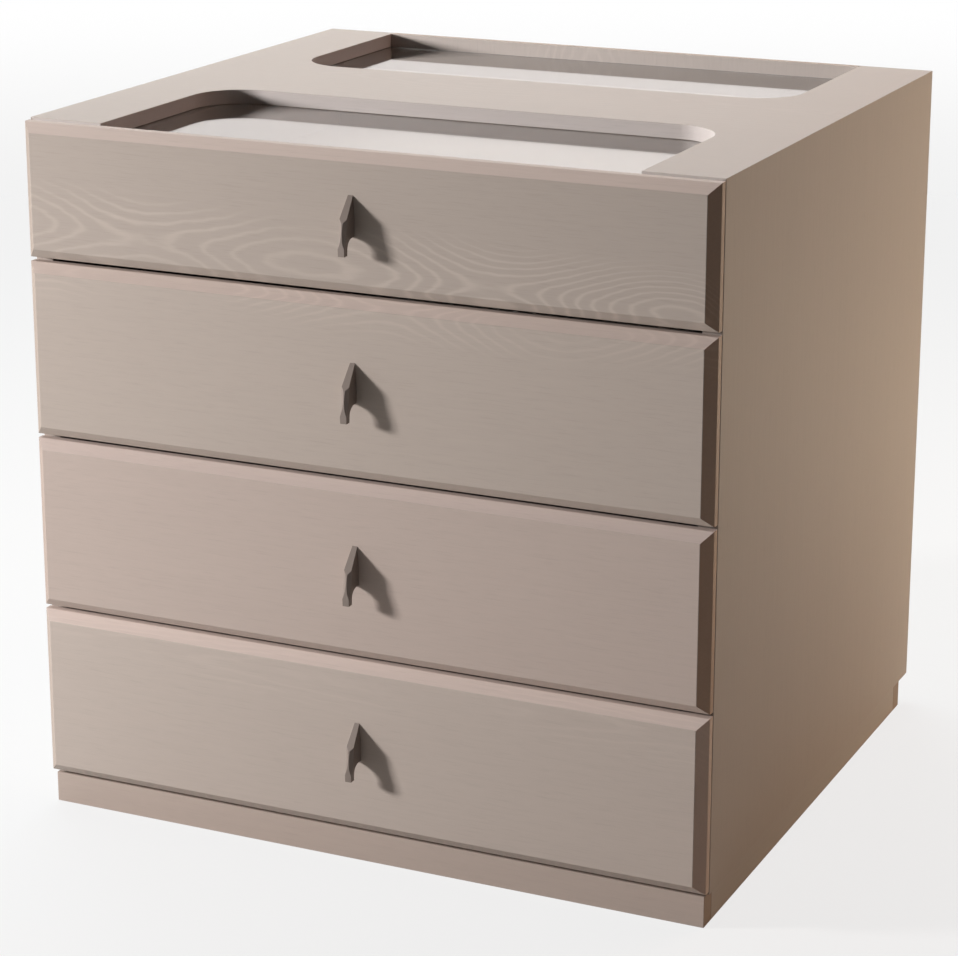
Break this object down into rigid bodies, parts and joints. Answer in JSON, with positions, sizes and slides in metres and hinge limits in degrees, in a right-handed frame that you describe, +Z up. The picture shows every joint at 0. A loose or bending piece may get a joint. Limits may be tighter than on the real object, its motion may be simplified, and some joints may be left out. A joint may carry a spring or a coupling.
{
  "type": "chest of drawers",
  "caption": "Low near-cubic chest of drawers on a plinth, with bevelled full-overlay fronts, small fin pulls and a top cut away over two glass panes.",
  "frame": {"origin": "on the floor, in the middle of the whole footprint, pulls included", "axes": "+Z up, +X to the right seen from the front, drawers open towards -Y"},
  "size_m": [0.7, 0.658, 0.697],
  "materials": {
    "stained_wood_top": "greige stain, open pores, matt lacquer",
    "stained_wood_front": "greige stain, horizontal grain, matt lacquer",
    "stained_wood_side": "greige stain, upright grain, matt lacquer",
    "stained_wood_back": "greige stain, matt",
    "stained_wood_plinth": "greige stain, horizontal grain",
    "clear_glass": "polished, ground edges",
    "drawer_box_wood": "stained to match, satin",
    "drawer_bottom_board": "faced board, satin",
    "raw_wood": "raw",
    "pull_finish": "satin paint matched to the wood",
    "runner_steel": "zinc plated",
    "screw_steel": "zinc plated"
  },
  "bodies": {
    "case": {"top_panel": "stained_wood_top", "side_left": "stained_wood_side", "side_right": "stained_wood_side", "back_panel": "stained_wood_back", "bottom_panel": "stained_wood_side", "front_glass": "clear_glass", "rear_glass": "clear_glass", "plinth_front": "stained_wood_plinth", "plinth_back": "stained_wood_plinth", "plinth_left": "stained_wood_plinth", "plinth_right": "stained_wood_plinth", "plinth_blocks": "raw_wood", "drawer1_case_runners": "runner_steel", "drawer2_case_runners": "runner_steel", "drawer3_case_runners": "runner_steel", "drawer4_case_runners": "runner_steel"},
    "runner1": {"drawer1_middle_runners": "runner_steel"},
    "drawer1": {"drawer1_front": "stained_wood_front", "drawer1_box_front": "drawer_box_wood", "drawer1_box_back": "drawer_box_wood", "drawer1_side_left": "drawer_box_wood", "drawer1_side_right": "drawer_box_wood", "drawer1_bottom": "drawer_bottom_board", "drawer1_pull": "pull_finish", "drawer1_pull_screws": "screw_steel", "drawer1_front_screws": "screw_steel", "drawer1_drawer_runners": "runner_steel"},
    "runner2": {"drawer2_middle_runners": "runner_steel"},
    "drawer2": {"drawer2_front": "stained_wood_front", "drawer2_box_front": "drawer_box_wood", "drawer2_box_back": "drawer_box_wood", "drawer2_side_left": "drawer_box_wood", "drawer2_side_right": "drawer_box_wood", "drawer2_bottom": "drawer_bottom_board", "drawer2_pull": "pull_finish", "drawer2_pull_screws": "screw_steel", "drawer2_front_screws": "screw_steel", "drawer2_drawer_runners": "runner_steel"},
    "runner3": {"drawer3_middle_runners": "runner_steel"},
    "drawer3": {"drawer3_front": "stained_wood_front", "drawer3_box_front": "drawer_box_wood", "drawer3_box_back": "drawer_box_wood", "drawer3_side_left": "drawer_box_wood", "drawer3_side_right": "drawer_box_wood", "drawer3_bottom": "drawer_bottom_board", "drawer3_pull": "pull_finish", "drawer3_pull_screws": "screw_steel", "drawer3_front_screws": "screw_steel", "drawer3_drawer_runners": "runner_steel"},
    "runner4": {"drawer4_middle_runners": "runner_steel"},
    "drawer4": {"drawer4_front": "stained_wood_front", "drawer4_box_front": "drawer_box_wood", "drawer4_box_back": "drawer_box_wood", "drawer4_side_left": "drawer_box_wood", "drawer4_side_right": "drawer_box_wood", "drawer4_bottom": "drawer_bottom_board", "drawer4_pull": "pull_finish", "drawer4_pull_screws": "screw_steel", "drawer4_front_screws": "screw_steel", "drawer4_drawer_runners": "runner_steel"}
  },
  "joints": [
    {"name": "drawer1_slide", "type": "slide", "parent": "case", "child": "drawer1", "axis": [0, -1, 0], "range_m": [0, 0.5]},
    {"name": "runner1_slide", "type": "slide", "parent": "case", "child": "runner1", "axis": [0, -1, 0], "range_m": [0, 0.25]},
    {"name": "drawer2_slide", "type": "slide", "parent": "case", "child": "drawer2", "axis": [0, -1, 0], "range_m": [0, 0.5]},
    {"name": "runner2_slide", "type": "slide", "parent": "case", "child": "runner2", "axis": [0, -1, 0], "range_m": [0, 0.25]},
    {"name": "drawer3_slide", "type": "slide", "parent": "case", "child": "drawer3", "axis": [0, -1, 0], "range_m": [0, 0.5]},
    {"name": "runner3_slide", "type": "slide", "parent": "case", "child": "runner3", "axis": [0, -1, 0], "range_m": [0, 0.25]},
    {"name": "drawer4_slide", "type": "slide", "parent": "case", "child": "drawer4", "axis": [0, -1, 0], "range_m": [0, 0.5]},
    {"name": "runner4_slide", "type": "slide", "parent": "case", "child": "runner4", "axis": [0, -1, 0], "range_m": [0, 0.25]}
  ],
  "couplings": [
    {"joint": "runner1_slide", "follows": "drawer1_slide", "ratio": 0.5},
    {"joint": "runner2_slide", "follows": "drawer2_slide", "ratio": 0.5},
    {"joint": "runner3_slide", "follows": "drawer3_slide", "ratio": 0.5},
    {"joint": "runner4_slide", "follows": "drawer4_slide", "ratio": 0.5}
  ]
}
